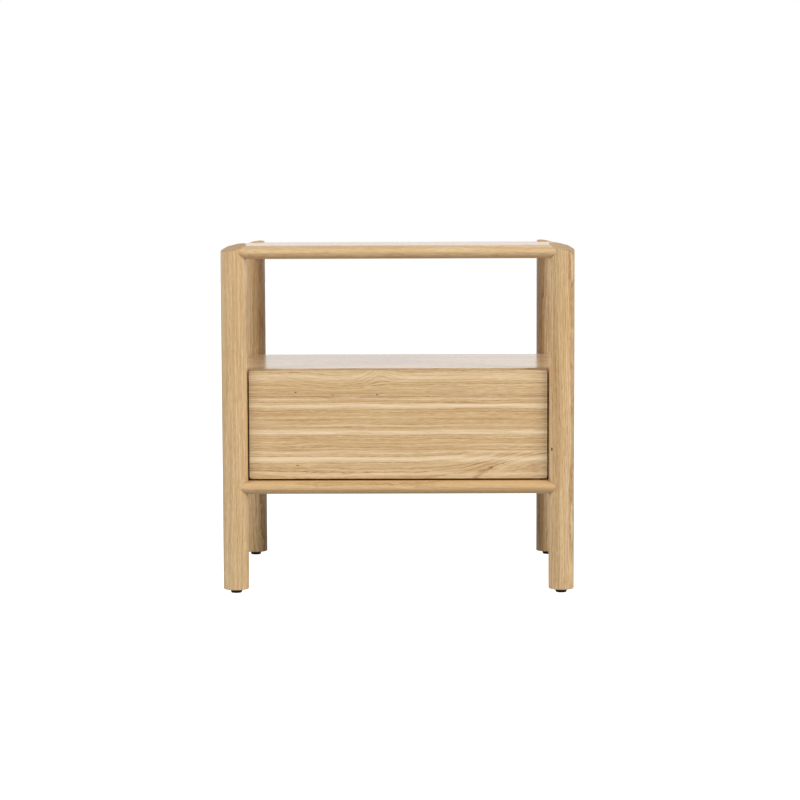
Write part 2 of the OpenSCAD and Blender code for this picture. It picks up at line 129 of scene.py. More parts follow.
clear_selection()
bpy.ops.mesh.primitive_plane_add(size=24.0, location=(0.0, 4.0, 0.0))
floor = bpy.context.object
floor.name = "floor"
floor_material = bpy.data.materials.new("pale_floor")
floor_material.use_nodes = True
floor_tree = floor_material.node_tree
floor_shader = floor_tree.nodes["Principled BSDF"]
floor_rays = new_node(floor_tree, "ShaderNodeLightPath")
floor_tree.links.new(floor_rays.outputs["Is Camera Ray"], floor_shader.inputs["Emission Strength"])
floor_shader.inputs["Base Color"].default_value = (0.62, 0.62, 0.62, 1.0)
floor_shader.inputs["Roughness"].default_value = 0.9
floor_shader.inputs["Specular IOR Level"].default_value = 0.0
floor_shader.inputs["Emission Color"].default_value = (1.0, 1.0, 1.0, 1.0)
floor.data.materials.append(floor_material)


# ------------------------------------------------------------------ posts
# Four round posts of solid oak, turned to 40 mm, with satin lacquer. Each runs from its glide
# to an end cut on a slant that falls to the outer corner. A stopped groove takes a side panel.
def linear(*rgb):
    """A colour given as 0 to 255 in sRGB, as the shader's linear colour."""
    level = [value / 255 for value in rgb]
    return tuple(v / 12.92 if v <= 0.04045 else ((v + 0.055) / 1.055) ** 2.4 for v in level) + (1.0,)


def new_group(name, ins, outs):
    """An empty shader node group; ins and outs give each socket's name and type."""
    tree = bpy.data.node_groups.new(name, "ShaderNodeTree")
    for way, sockets in (("INPUT", ins), ("OUTPUT", outs)):
        for label, kind in sockets.items():
            tree.interface.new_socket(label, in_out=way, socket_type="NodeSocket" + kind)
    return tree, tree.nodes.new("NodeGroupInput").outputs, tree.nodes.new("NodeGroupOutput").inputs


def stretched_noise(tree, vector, along, across, detail):
    """Noise drawn out along the grain; along and across are waves per metre. About -0.5 to 0.5."""
    waves = {0: vector, 1: (along, across, across)}
    scaled = new_node(tree, "ShaderNodeVectorMath", waves, operation="MULTIPLY").outputs[0]
    noise = new_node(tree, "ShaderNodeTexNoise", {"Vector": scaled, "Scale": 1.0, "Detail": detail})
    return maths(tree, "SUBTRACT", noise.outputs["Fac"], 0.5)


def ramp(tree, factor, stops):
    """A colour ramp's output; stops are pairs of place and grey or colour."""
    node = new_node(tree, "ShaderNodeValToRGB", {"Fac": factor})
    elements = node.color_ramp.elements
    while len(elements) < len(stops):
        elements.new(1.0)
    for element, (place, shade) in zip(elements, stops):
        element.position = place
        element.color = shade if isinstance(shade, tuple) else (shade, shade, shade, 1.0)
    return node.outputs["Color"]


def blend(tree, factor, first, second, mode="MIX"):
    """Two colours mixed. The Mix node's colour sockets are inputs 6 and 7, and output 2."""
    ins = {0: factor, 6: first, 7: second}
    return new_node(tree, "ShaderNodeMix", ins, data_type="RGBA", blend_type=mode).outputs[2]


# Oak figure: growth rings round a pith, pores in the early wood, fibres and slow tone changes.
# Its vector is in metres, x along the grain, y and z across it from the pith.
oak, oak_in, oak_out = new_group(
    "oak_figure",
    {"Vector": "Vector", "Ring": "Float", "Warp": "Float", "Lines": "Float", "Tone": "Float",
     "Light": "Color", "Middle": "Color", "Dark": "Color"},
    {"Color": "Color", "Roughness": "Float", "Height": "Float"})
grain = oak_in["Vector"]
apart = new_node(oak, "ShaderNodeSeparateXYZ", {0: grain}).outputs
squares = [maths(oak, "POWER", apart[axis], 2.0) for axis in (1, 2)]
radius = maths(oak, "SQRT", maths(oak, "ADD", *squares))
slow_bend = maths(oak, "MULTIPLY", stretched_noise(oak, grain, 3.2, 17.0, 2.0), oak_in["Warp"])
quick_bend = maths(oak, "MULTIPLY", stretched_noise(oak, grain, 17.0, 85.0, 1.0), 0.0038)
ripple = maths(oak, "MULTIPLY", stretched_noise(oak, grain, 75.0, 260.0, 2.0), 0.0013)
bends = maths(oak, "ADD", slow_bend, maths(oak, "ADD", quick_bend, ripple))
rings = maths(oak, "DIVIDE", maths(oak, "ADD", radius, bends), oak_in["Ring"])
ins = {"W": rings, "Scale": 0.45, "Detail": 1.0}
uneven = new_node(oak, "ShaderNodeTexNoise", ins, noise_dimensions="1D")
rings = maths(oak, "MULTIPLY_ADD", uneven.outputs["Fac"], 2.2, rings)
ring_draw = new_node(oak, "ShaderNodeTexWhiteNoise", {"W": maths(oak, "FLOOR", rings)}, noise_dimensions="1D")
ring_profile = ((0.0, 0.2), (0.09, 1.0), (0.3, 0.45), (0.55, 0.03), (1.0, 0.2))
early = ramp(oak, maths(oak, "FRACT", rings), ring_profile)
patchy = maths(oak, "MULTIPLY_ADD", stretched_noise(oak, grain, 9.0, 60.0, 1.0), 1.2, 0.7)
dashes = maths(oak, "MULTIPLY_ADD", stretched_noise(oak, grain, 95.0, 700.0, 2.0), 2.6, 0.85)
ring_force = maths(oak, "MULTIPLY_ADD", ring_draw.outputs["Value"], 0.85, 0.25)
patchy_lines = maths(oak, "MULTIPLY", patchy, oak_in["Lines"])
whole_lines = maths(oak, "MULTIPLY", maths(oak, "MULTIPLY", early, ring_force), patchy_lines)
lines = maths(oak, "MULTIPLY", whole_lines, dashes)
streak = stretched_noise(oak, grain, 7.0, 330.0, 3.0)
fibre = stretched_noise(oak, grain, 60.0, 900.0, 3.0)
pore_noise = stretched_noise(oak, grain, 130.0, 2300.0, 1.0)
open_pores = ramp(oak, maths(oak, "ADD", pore_noise, 0.5), ((0.58, 0.0), (0.68, 1.0)))
pores = maths(oak, "MULTIPLY", open_pores, maths(oak, "MULTIPLY_ADD", early, 0.75, 0.25))
tone = maths(oak, "MULTIPLY_ADD", stretched_noise(oak, grain, 1.6, 26.0, 2.0), 1.1, oak_in["Tone"])
fibre_tone = maths(oak, "MULTIPLY_ADD", fibre, 1.5, tone)
paleness = maths(oak, "ADD", maths(oak, "MULTIPLY_ADD", streak, 1.6, 0.4), fibre_tone)
pale_mix = new_node(oak, "ShaderNodeClamp", {"Value": paleness}).outputs[0]
base = blend(oak, pale_mix, oak_in["Middle"], oak_in["Light"])
line_mix = new_node(oak, "ShaderNodeClamp", {"Value": lines}).outputs[0]
lined = blend(oak, line_mix, base, oak_in["Dark"])
pore_mix = maths(oak, "MULTIPLY", pores, 0.5)
oak.links.new(blend(oak, pore_mix, lined, linear(120, 86, 54)), oak_out["Color"])
fibre_rough = maths(oak, "MULTIPLY_ADD", fibre, 0.08, 0.27)
oak.links.new(maths(oak, "MULTIPLY_ADD", pores, 0.2, fibre_rough), oak_out["Roughness"])
sunk = maths(oak, "MULTIPLY_ADD", line_mix, 0.3, maths(oak, "MULTIPLY", pores, 0.35))
relief = maths(oak, "SUBTRACT", maths(oak, "MULTIPLY", fibre, 0.3), sunk)
oak.links.new(relief, oak_out["Height"])

# Staves: narrow lengths glued edge to edge, each with its own pith and tone. The vector is in
# metres with y across the staves; what comes out is measured from each stave's pith.
staves, staves_in, staves_out = new_group(
    "glued_staves", {"Vector": "Vector", "Width": "Float", "Seed": "Float"},
    {"Vector": "Vector", "Tone": "Float"})
apart = new_node(staves, "ShaderNodeSeparateXYZ", {0: staves_in["Vector"]}).outputs
place = maths(staves, "DIVIDE", apart[1], staves_in["Width"])
index = maths(staves, "ADD", maths(staves, "FLOOR", place), staves_in["Seed"])
draw = new_node(staves, "ShaderNodeTexWhiteNoise", {"W": index}, noise_dimensions="1D")
draws = new_node(staves, "ShaderNodeSeparateColor", {0: draw.outputs["Color"]}).outputs
shift = maths(staves, "MULTIPLY_ADD", draws[0], 0.22, -0.11)
depth = maths(staves, "MULTIPLY_ADD", draws[1], 0.05, 0.02)
lean = maths(staves, "MULTIPLY", apart[0], maths(staves, "MULTIPLY_ADD", draws[2], 0.08, -0.04))
across = maths(staves, "ADD", apart[1], shift)
deep = maths(staves, "ADD", maths(staves, "ADD", apart[2], depth), lean)
along = maths(staves, "MULTIPLY_ADD", index, 1.7, apart[0])
joined = new_node(staves, "ShaderNodeCombineXYZ", {0: along, 1: across, 2: deep}).outputs[0]
staves.links.new(joined, staves_out["Vector"])
staves.links.new(maths(staves, "MULTIPLY_ADD", draw.outputs["Value"], 0.5, -0.25), staves_out["Tone"])

oak_light, oak_middle, oak_dark = linear(234, 208, 166), linear(204, 168, 117), linear(152, 104, 56)


def new_material(name):
    """A material with its shader nodes, and their tree."""
    made = bpy.data.materials.new(name)
    made.use_nodes = True
    return made, made.node_tree


def grain_vector(tree, order, centre):
    """Object coordinates from a centre, in the order along, across and through the piece."""
    spot = new_node(tree, "ShaderNodeTexCoord").outputs["Object"]
    ins = {0: spot, 1: tuple(-Vector(centre))}
    moved = new_node(tree, "ShaderNodeVectorMath", ins, operation="ADD").outputs[0]
    axes = new_node(tree, "ShaderNodeSeparateXYZ", {0: moved}).outputs
    picked = {i: axes["xyz".index(letter)] for i, letter in enumerate(order)}
    return new_node(tree, "ShaderNodeCombineXYZ", picked).outputs[0]


def end_mask(tree, letter):
    """1 where the surface cuts across the grain, 0 along it."""
    normal = new_node(tree, "ShaderNodeTexCoord").outputs["Normal"]
    axes = new_node(tree, "ShaderNodeSeparateXYZ", {0: normal}).outputs
    return ramp(tree, maths(tree, "ABSOLUTE", axes["xyz".index(letter)]), ((0.55, 0.0), (0.85, 1.0)))


def finish_wood(tree, colour, roughness, height, end):
    """Satin-lacquered wood from the figure's colour, with darker, greyer end grain."""
    shader = tree.nodes["Principled BSDF"]
    ended = blend(tree, maths(tree, "MULTIPLY", end, 0.75), colour, (0.66, 0.63, 0.58, 1.0), "MULTIPLY")
    tree.links.new(maths(tree, "MULTIPLY_ADD", end, -0.3, 0.4), shader.inputs["Coat Weight"])
    relief = {"Height": height, "Distance": 0.000015, "Strength": 0.6}
    bump = new_node(tree, "ShaderNodeBump", relief)
    tree.links.new(ended, shader.inputs["Base Color"])
    tree.links.new(maths(tree, "MULTIPLY_ADD", end, 0.28, roughness), shader.inputs["Roughness"])
    tree.links.new(bump.outputs["Normal"], shader.inputs["Normal"])
    shader.inputs["Coat Roughness"].default_value = 0.14


# A pin knot: a small dark spot. Reach squeezes the space, so that a knot can be oval or run deep.
knot_group, knot_in, knot_out = new_group(
    "pin_knot", {"Vector": "Vector", "Spot": "Vector", "Reach": "Vector", "Size": "Float"}, {"Mask": "Float"})
squeezed = {}
for number, label in enumerate(("Vector", "Spot")):
    ins = {0: knot_in[label], 1: knot_in["Reach"]}
    squeezed[number] = new_node(knot_group, "ShaderNodeVectorMath", ins, operation="MULTIPLY").outputs[0]
far = new_node(knot_group, "ShaderNodeVectorMath", squeezed, operation="DISTANCE").outputs["Value"]
share = maths(knot_group, "DIVIDE", far, knot_in["Size"])
knot_group.links.new(ramp(knot_group, share, ((0.6, 1.0), (1.0, 0.0))), knot_out["Mask"])


def use_group(tree, group, **ins):
    """The outputs of a group placed in a material, its inputs linked or set."""
    placed = tree.nodes.new("ShaderNodeGroup")
    placed.node_tree = group
    for key, value in ins.items():
        if isinstance(value, bpy.types.NodeSocket):
            tree.links.new(value, placed.inputs[key])
        else:
            placed.inputs[key].default_value = value
    return placed.outputs


knot_brown = linear(84, 42, 14)


def oak_material(name, order, centre, pith=None, stave=None, ring=0.003, warp=0.014, lines=0.75,
                 tone=0.0, seed=0.0, knot=None):
    """Oak with its grain along the first letter of order. Either one stick, or glued staves."""
    made, tree = new_material(name)
    vector = grain_vector(tree, order, centre)
    if stave:
        glued = use_group(tree, staves, Vector=vector, Width=stave, Seed=seed)
        grown, tone = glued["Vector"], maths(tree, "ADD", glued["Tone"], tone)
    else:
        offset = (seed, pith[0], pith[1])
        grown = new_node(tree, "ShaderNodeVectorMath", {0: vector, 1: offset}, operation="ADD").outputs[0]
    figure = use_group(tree, oak, Vector=grown, Ring=ring, Warp=warp, Lines=lines, Tone=tone,
                       Light=oak_light, Middle=oak_middle, Dark=oak_dark)
    colour = figure["Color"]
    if knot:
        mark = use_group(tree, knot_group, Vector=vector, Spot=knot, Reach=(0.7, 1.0, 1.0), Size=0.0024)
        colour = blend(tree, mark["Mask"], colour, knot_brown)
    finish_wood(tree, colour, figure["Roughness"], figure["Height"], end_mask(tree, order[0]))
    return made


def edit(piece):
    """Makes a piece the only selected one and enters edit mode with nothing selected."""
    clear_selection()
    piece.select_set(True)
    bpy.context.view_layer.objects.active = piece
    bpy.ops.object.mode_set(mode="EDIT")
    bpy.ops.mesh.select_all(action="DESELECT")


def pick(piece, kind, test):
    """Selects the faces, edges or verts of the piece in edit mode whose middle passes the test."""
    bpy.ops.mesh.select_mode(type={"faces": "FACE", "edges": "EDGE", "verts": "VERT"}[kind])
    mesh = bmesh.from_edit_mesh(piece.data)
    for item in getattr(mesh, kind):
        middle = item.co if kind == "verts" else sum((v.co for v in item.verts), Vector()) / len(item.verts)
        item.select_set(bool(test(middle, item)))
    bmesh.update_edit_mesh(piece.data)


def done(piece):
    """Leaves edit mode."""
    bpy.ops.object.mode_set(mode="OBJECT")
    return piece


def solid_box(name, low, high):
    """A box between two corners, at the origin, unscaled, and the only thing selected."""
    clear_selection()
    low, high = Vector(low), Vector(high)
    bpy.ops.mesh.primitive_cube_add(size=1.0, location=(low + high) / 2, scale=high - low)
    piece = bpy.context.object
    piece.name = piece.data.name = name
    bpy.ops.object.transform_apply(location=True, rotation=True, scale=True)
    return piece


def solid_cylinder(name, centre, radius, z0, z1, sides=96):
    """An upright cylinder between two heights, unscaled, and the only thing selected."""
    clear_selection()
    place = (centre[0], centre[1], (z0 + z1) / 2)
    bpy.ops.mesh.primitive_cylinder_add(vertices=sides, radius=radius, depth=z1 - z0, location=place)
    piece = bpy.context.object
    piece.name = piece.data.name = name
    bpy.ops.object.transform_apply(location=True, rotation=True, scale=True)
    return piece


def use_modifier(piece, kind, **settings):
    """Adds a modifier with its settings made, and applies it."""
    modifier = piece.modifiers.new(kind.lower(), kind)
    for key, value in settings.items():
        setattr(modifier, key, value)
    clear_selection()
    piece.select_set(True)
    bpy.context.view_layer.objects.active = piece
    bpy.ops.object.modifier_apply(modifier=modifier.name)


def cut_with(piece, cutter):
    """Takes the cutter's volume out of the piece, and removes the cutter."""
    use_modifier(piece, "BOOLEAN", object=cutter, operation="DIFFERENCE", solver="EXACT")
    bpy.data.objects.remove(cutter)


def smooth(piece):
    """Soft shading over rounded edges that leaves the broad faces flat."""
    clear_selection()
    piece.select_set(True)
    bpy.context.view_layer.objects.active = piece
    bpy.ops.object.shade_smooth_by_angle(angle=math.radians(40.0))
    use_modifier(piece, "WEIGHTED_NORMAL", keep_sharp=True, weight=60)


def hand_over(piece, material, body, slot, *nodes):
    """Gives a finished piece its material, its body and the CAD nodes it stands for. The slot is not used."""
    piece.data.materials.clear()
    piece.data.materials.append(material)
    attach(piece, body)
    if nodes:
        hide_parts(*nodes)


post_low, post_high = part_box("post_front_right")
post_radius = (post_high.x - post_low.x) / 2
post_centre = ((post_low.x + post_high.x) / 2, (post_low.y + post_high.y) / 2)
end_slant = math.radians(19.5)
post_rise = math.tan(end_slant) * post_radius
post_end = post_high.z - post_rise
panel_low, panel_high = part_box("side_panel_right")
rim_round = 0.0009
foot_round = 0.0014
same_place = 1e-5
# Each post's pith, seed, tone, strength of lines and knot
post_looks = {
    "post_front_left": ((0.046, 0.030), 0.3, -0.2, 0.8, None),
    "post_front_right": ((-0.034, 0.028), 1.9, -0.1, 1.35, (0.2262, -0.0156, -0.0125)),
    "post_rear_left": ((0.040, -0.038), 3.1, -0.12, 1.1, None),
    "post_rear_right": ((-0.052, -0.026), 4.4, -0.1, 1.1, None),
}
for name, (pith, seed, tone, lines, knot) in post_looks.items():
    sx = 1 if name.endswith("right") else -1
    sy = 1 if "rear" in name else -1
    centre = (sx * post_centre[0], -sy * post_centre[1])
    piece = solid_cylinder(name + "_turned", centre, post_radius, post_low.z, post_high.z + post_rise)
    slant = Vector((sx, sy, 0.0)).normalized() * math.sin(end_slant)
    slant.z = math.cos(end_slant)
    plane = Vector((centre[0], centre[1], post_end))
    edit(piece)
    bpy.ops.mesh.select_all(action="SELECT")
    bpy.ops.mesh.bisect(plane_co=plane, plane_no=slant, use_fill=True, clear_outer=True)
    pick(piece, "edges", lambda m, e: all(abs((v.co - plane).dot(slant)) < same_place for v in e.verts))
    bpy.ops.mesh.bevel(offset=rim_round, segments=3, affect="EDGES")
    pick(piece, "edges", lambda m, e: all(abs(v.co.z - post_low.z) < same_place for v in e.verts))
    bpy.ops.mesh.bevel(offset=foot_round, segments=3, affect="EDGES")
    done(piece)
    groove_x = sorted((sx * panel_low.x, sx * panel_high.x))
    groove_low = (groove_x[0], panel_low.y, panel_low.z)
    groove_high = (groove_x[1], panel_high.y, panel_high.z)
    cut_with(piece, solid_box("groove", groove_low, groove_high))
    smooth(piece)
    look = oak_material("oak_" + name, "zxy", (*centre, 0.0), pith=pith, seed=seed, tone=tone,
                        lines=lines, ring=0.0032, warp=0.02, knot=knot)
    hand_over(piece, look, "frame", "oak_posts", name)


# ------------------------------------------------------------------ boards
# The top, shelf and bottom boards are glued up from oak staves. Their edges are moulded to an
# elliptical nose, and the corners of the top and bottom boards are cut round to fit the posts
# and have pockets drilled from below for the nuts of the hanger bolts.
nose_depth = 0.015
nose_steps = 9
fit_gap = 0.0003
overshoot = 0.01


def nosed_board(name, low, high, ends_only=False):
    """A board whose edges, or only whose two ends, are drawn out to an elliptical nose."""
    middle = (low + high) / 2
    half = (high - low) / 2
    flat = half - Vector((nose_depth, 0.0 if ends_only else nose_depth, 0.0))
    piece = solid_box(name, middle - flat, middle + flat)
    edit(piece)
    pick(piece, "faces", lambda m, f: abs(f.normal.x) > 0.5 or (abs(f.normal.y) > 0.5 and not ends_only))
    x0, y0, z0 = flat
    for step in range(1, nose_steps + 1):
        turn = math.pi / 2 * step / nose_steps
        x1 = flat.x + nose_depth * math.sin(turn)
        y1 = flat.y if ends_only else flat.y + nose_depth * math.sin(turn)
        z1 = max(flat.z * math.cos(turn), 1e-5)
        bpy.ops.mesh.extrude_region_move()
        bpy.ops.transform.resize(value=(x1 / x0, y1 / y0, z1 / z0), center_override=middle)
        x0, y0, z0 = x1, y1, z1
    bpy.ops.mesh.select_all(action="SELECT")
    bpy.ops.mesh.remove_doubles(threshold=5e-5)
    return done(piece)


def notch_corners(piece, z0, z1):
    """Cuts the corners to the round of the posts, and all that would stand outside them."""
    for sx in (-1, 1):
        for sy in (-1, 1):
            centre = Vector((sx * post_centre[0], sy * abs(post_centre[1]), 0.0))
            cutter = solid_cylinder("notch", centre, post_radius + fit_gap, z0 - overshoot, z1 + overshoot)
            outward = Vector((sx, sy)).normalized()
            edit(cutter)
            pick(cutter, "verts", lambda m, v: (v.co - centre).xy.normalized().dot(outward) > 0.8)
            bpy.ops.transform.resize(value=(1.7, 1.7, 1.0), center_override=centre)
            done(cutter)
            cut_with(piece, cutter)


# A nut's pocket: its radius, how far it is from the post's middle, and how far it reaches over
# the middle of the board's thickness
pocket_radius = 0.013
pocket_away = 0.066
pocket_over = 0.007
for name, stave, seed in (("top_board", 0.062, 3.0), ("bottom_board", 0.058, 21.0)):
    low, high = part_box(name)
    middle_z = (low.z + high.z) / 2
    piece = nosed_board(name + "_moulded", low, high)
    notch_corners(piece, low.z, high.z)
    for sx in (-1, 1):
        for sy in (-1, 1):
            spot = [sign * (abs(c) - pocket_away / math.sqrt(2)) for sign, c in zip((sx, sy), post_centre)]
            drill_z = (low.z - overshoot, middle_z + pocket_over)
            cut_with(piece, solid_cylinder("pocket", spot, pocket_radius, *drill_z, sides=64))
    smooth(piece)
    look = oak_material("oak_" + name, "xyz", (0.0, low.y, middle_z), stave=stave, seed=seed,
                        tone=-0.36, lines=0.7)
    hand_over(piece, look, "frame", "oak_boards", name)

low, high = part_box("shelf_board")
shelf = nosed_board("shelf_board_moulded", low, high, ends_only=True)
smooth(shelf)
shelf_look = oak_material("oak_shelf_board", "xyz", (0.0, low.y, (low.z + high.z) / 2), stave=0.06,
                          seed=40.0, tone=0.05)
hand_over(shelf, shelf_look, "frame", "oak_boards", "shelf_board")


# ------------------------------------------------------------------ hanger bolts
# Zinc-plated steel bolts screwed into the posts on the corners' diagonals. In a pocket drilled
# in each board's underside a half-moon washer and a nut pull the board against the post.

# Plated steel: fine brush marks along one direction, and a faint uneven haze.
steel, steel_in, steel_out = new_group(
    "plated_steel", {"Brush": "Vector", "Color": "Color", "Spotted": "Color", "Roughness": "Float"},
    {"Color": "Color", "Roughness": "Float", "Height": "Float"})
spot = new_node(steel, "ShaderNodeTexCoord").outputs["Object"]
ins = {0: spot, 1: steel_in["Brush"]}
drawn = new_node(steel, "ShaderNodeVectorMath", ins, operation="MULTIPLY").outputs[0]
marks = new_node(steel, "ShaderNodeTexNoise", {"Vector": drawn, "Scale": 1.0, "Detail": 2.0}).outputs["Fac"]
haze = new_node(steel, "ShaderNodeTexNoise", {"Vector": spot, "Scale": 90.0, "Detail": 3.0}).outputs["Fac"]
hazy = maths(steel, "MULTIPLY_ADD", haze, 0.14, -0.13)
uneven_shine = maths(steel, "ADD", maths(steel, "MULTIPLY", marks, 0.12), hazy)
steel.links.new(maths(steel, "ADD", uneven_shine, steel_in["Roughness"]), steel_out["Roughness"])
steel.links.new(blend(steel, haze, steel_in["Color"], steel_in["Spotted"]), steel_out["Color"])
steel.links.new(marks, steel_out["Height"])


def lead_to_shader(tree, surface, depth, metallic=0.0):
    """Leads a group's colour, roughness and relief, depth metres deep, to the material's shader."""
    shader = tree.nodes["Principled BSDF"]
    bump = new_node(tree, "ShaderNodeBump", {"Height": surface["Height"], "Distance": depth, "Strength": 0.5})
    tree.links.new(surface["Color"], shader.inputs["Base Color"])
    tree.links.new(surface["Roughness"], shader.inputs["Roughness"])
    tree.links.new(bump.outputs["Normal"], shader.inputs["Normal"])
    shader.inputs["Metallic"].default_value = metallic


def dress(material, *names):
    """Gives CAD nodes that are shown as they are their material."""
    for name in names:
        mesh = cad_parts[name].data
        mesh.materials.clear()
        mesh.materials.append(material)


steel_relief = 0.00002
zinc, tree = new_material("zinc_plate")
surface = use_group(tree, steel, Brush=(300.0, 300.0, 300.0), Color=linear(196, 200, 202),
                    Spotted=linear(168, 172, 176), Roughness=0.36)
lead_to_shader(tree, surface, steel_relief, metallic=1.0)
dress(zinc, "top_hanger_bolts", "top_bolt_washers", "top_bolt_nuts")
dress(zinc, "bottom_hanger_bolts", "bottom_bolt_washers", "bottom_bolt_nuts")


# ------------------------------------------------------------------ glides
# A black moulded glide under each post, turned in towards the floor, nailed on through a
# recess in its middle. One is modelled and the others are copies.
plastic, plastic_in, plastic_out = new_group(
    "moulded_plastic", {"Color": "Color", "Worn": "Color", "Roughness": "Float"},
    {"Color": "Color", "Roughness": "Float", "Height": "Float"})
spot = new_node(plastic, "ShaderNodeTexCoord").outputs["Object"]
fine = new_node(plastic, "ShaderNodeTexNoise", {"Vector": spot, "Scale": 1400.0, "Detail": 1.0})
scuffs = new_node(plastic, "ShaderNodeTexNoise", {"Vector": spot, "Scale": 120.0, "Detail": 4.0})
scuff = scuffs.outputs["Fac"]
worn = ramp(plastic, scuff, ((0.5, 0.0), (0.75, 0.6)))
plastic.links.new(blend(plastic, worn, plastic_in["Color"], plastic_in["Worn"]), plastic_out["Color"])
rough = maths(plastic, "ADD", maths(plastic, "MULTIPLY_ADD", scuff, 0.2, -0.1), plastic_in["Roughness"])
plastic.links.new(rough, plastic_out["Roughness"])
plastic.links.new(fine.outputs["Fac"], plastic_out["Height"])

plastic_relief = 0.00003
black_plastic, tree = new_material("black_plastic")
surface = use_group(tree, plastic, Color=linear(30, 32, 33), Worn=linear(62, 64, 66), Roughness=0.5)
lead_to_shader(tree, surface, plastic_relief)

glide_low, glide_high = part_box("glides")
nail_low, nail_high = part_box("glide_nails")
glide_radius = 0.010
head_radius = nail_high.x - abs(post_centre[0])
glide_taper = 0.0019
under_head = 0.0002
glide_foot_round = 0.0007
glide_top_round = 0.0005
glide_axis = Vector((post_centre[0], abs(post_centre[1]), 0.0))
glide = solid_cylinder("glide_1", glide_axis.xy, glide_radius, glide_low.z, glide_high.z, sides=64)
edit(glide)
pick(glide, "faces", lambda m, f: f.normal.z < -0.5)
small = (glide_radius - glide_taper) / glide_radius
bpy.ops.transform.resize(value=(small, small, 1.0), center_override=glide_axis)
bpy.ops.mesh.inset(thickness=glide_radius - glide_taper - head_radius)
recess = (0.0, 0.0, nail_low.z - glide_low.z + under_head)
bpy.ops.mesh.extrude_region_move(TRANSFORM_OT_translate={"value": recess})
outside = head_radius + 0.0025
pick(glide, "edges", lambda m, e: all(abs(v.co.z - glide_low.z) < 1e-6 and
                                      (v.co - glide_axis).xy.length > outside for v in e.verts))
bpy.ops.mesh.bevel(offset=glide_foot_round, segments=3, affect="EDGES")
pick(glide, "edges", lambda m, e: all(abs(v.co.z - glide_high.z) < 1e-6 for v in e.verts))
bpy.ops.mesh.bevel(offset=glide_top_round, segments=2, affect="EDGES")
done(glide)
smooth(glide)
glide_set = [glide]
for number, (sx, sy) in enumerate(((-1, 1), (-1, -1), (1, -1)), 2):
    copy = bpy.data.objects.new(f"glide_{number}", glide.data.copy())
    copy.data.transform(Matrix.Translation(((sx - 1) * post_centre[0], (sy - 1) * abs(post_centre[1]), 0.0)))
    bpy.context.collection.objects.link(copy)
    glide_set.append(copy)
for piece in glide_set:
    hand_over(piece, black_plastic, "frame", "black_plastic", "glides")
dress(zinc, "glide_nails")


# ------------------------------------------------------------------ drawer case
# Side panels of oak staves, glued into the grooves of the posts and dowelled to the boards,
# and a back panel screwed to the shelf. Beech dowels, zinc-plated countersunk screws.
def eased_box(name, low, high, ease, segments=3):
    """A machined board: a box with all its edges eased."""
    piece = solid_box(name, low, high)
    edit(piece)
    bpy.ops.mesh.select_all(action="SELECT")
    bpy.ops.mesh.bevel(offset=ease, segments=segments, affect="EDGES")
    done(piece)
    smooth(piece)
    return piece


panel_ease = 0.0003
back_ease = 0.0012
for name, seed in (("side_panel_left", 60.0), ("side_panel_right", 75.0)):
    low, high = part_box(name)
    look = oak_material("oak_" + name, "yzx", ((low.x + high.x) / 2, 0.0, low.z), stave=0.051, seed=seed)
    panel = eased_box(name + "_glued", low, high, panel_ease, 1)
    hand_over(panel, look, "frame", "oak_panels", name)

low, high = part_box("back_panel")
back_look = oak_material("oak_back_panel", "xzy", (0.0, (low.y + high.y) / 2, low.z), stave=0.043,
                         seed=90.0, tone=-0.05)
back = eased_box("back_panel_glued", low, high, back_ease)
screw_low, screw_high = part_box("back_panel_screws")
screw_radius = (screw_high.z - screw_low.z) / 2
screw_z = (screw_low.z + screw_high.z) / 2
sink_depth = 0.0024
sink_room = 1.04
sink_tip = 0.002
sink_proud = 0.00005
for x in (screw_low.x + screw_radius, 0.0, screw_high.x - screw_radius):
    clear_selection()
    place = (x, high.y - sink_depth / 2 + sink_proud, screw_z)
    bpy.ops.mesh.primitive_cone_add(vertices=48, radius1=screw_radius * sink_room, radius2=sink_tip,
                                    depth=sink_depth * sink_room, location=place,
                                    rotation=(math.pi / 2, 0.0, 0.0))
    countersink = bpy.context.object
    bpy.ops.object.transform_apply(location=True, rotation=True, scale=True)
    cut_with(back, countersink)
smooth(back)
hand_over(back, back_look, "frame", "oak_panels", "back_panel")
dress(zinc, "back_panel_screws", "packer_screws", "drawer_front_screws", "latch_screws", "slide_outer_screws",
      "slide_inner_screws", "strike_screws")


# Birch and beech: close, even grain with soft broad bands and short flecks. Where Edge is 1, a
# plywood board shows its layers, whose thickness is Layer, counted Through it from one face.
close, close_in, close_out = new_group(
    "close_grain",
    {"Vector": "Vector", "Through": "Float", "Layer": "Float", "Edge": "Float", "Contrast": "Float",
     "Light": "Color", "Dark": "Color"},
    {"Color": "Color", "Roughness": "Float", "Height": "Float"})
slow = stretched_noise(close, close_in["Vector"], 4.0, 40.0, 2.0)
fine = stretched_noise(close, close_in["Vector"], 60.0, 1500.0, 2.0)
bands = maths(close, "MULTIPLY", stretched_noise(close, close_in["Vector"], 2.5, 22.0, 1.0), 9.0)
waves = maths(close, "MULTIPLY", maths(close, "PINGPONG", bands, 0.5), 0.9)
broad = maths(close, "MULTIPLY_ADD", slow, 2.0, maths(close, "MULTIPLY_ADD", fine, 1.5, waves))
mixed = maths(close, "MULTIPLY_ADD", broad, close_in["Contrast"], 0.2)
shade = new_node(close, "ShaderNodeClamp", {"Value": mixed}).outputs[0]
colour = blend(close, shade, close_in["Light"], close_in["Dark"])
count = maths(close, "DIVIDE", close_in["Through"], close_in["Layer"])
dark_layer = maths(close, "LESS_THAN", maths(close, "MODULO", count, 2.0), 1.0)
layer_mix = maths(close, "MULTIPLY", dark_layer, maths(close, "MULTIPLY", close_in["Edge"], 0.55))
close.links.new(blend(close, layer_mix, colour, linear(150, 108, 66)), close_out["Color"])
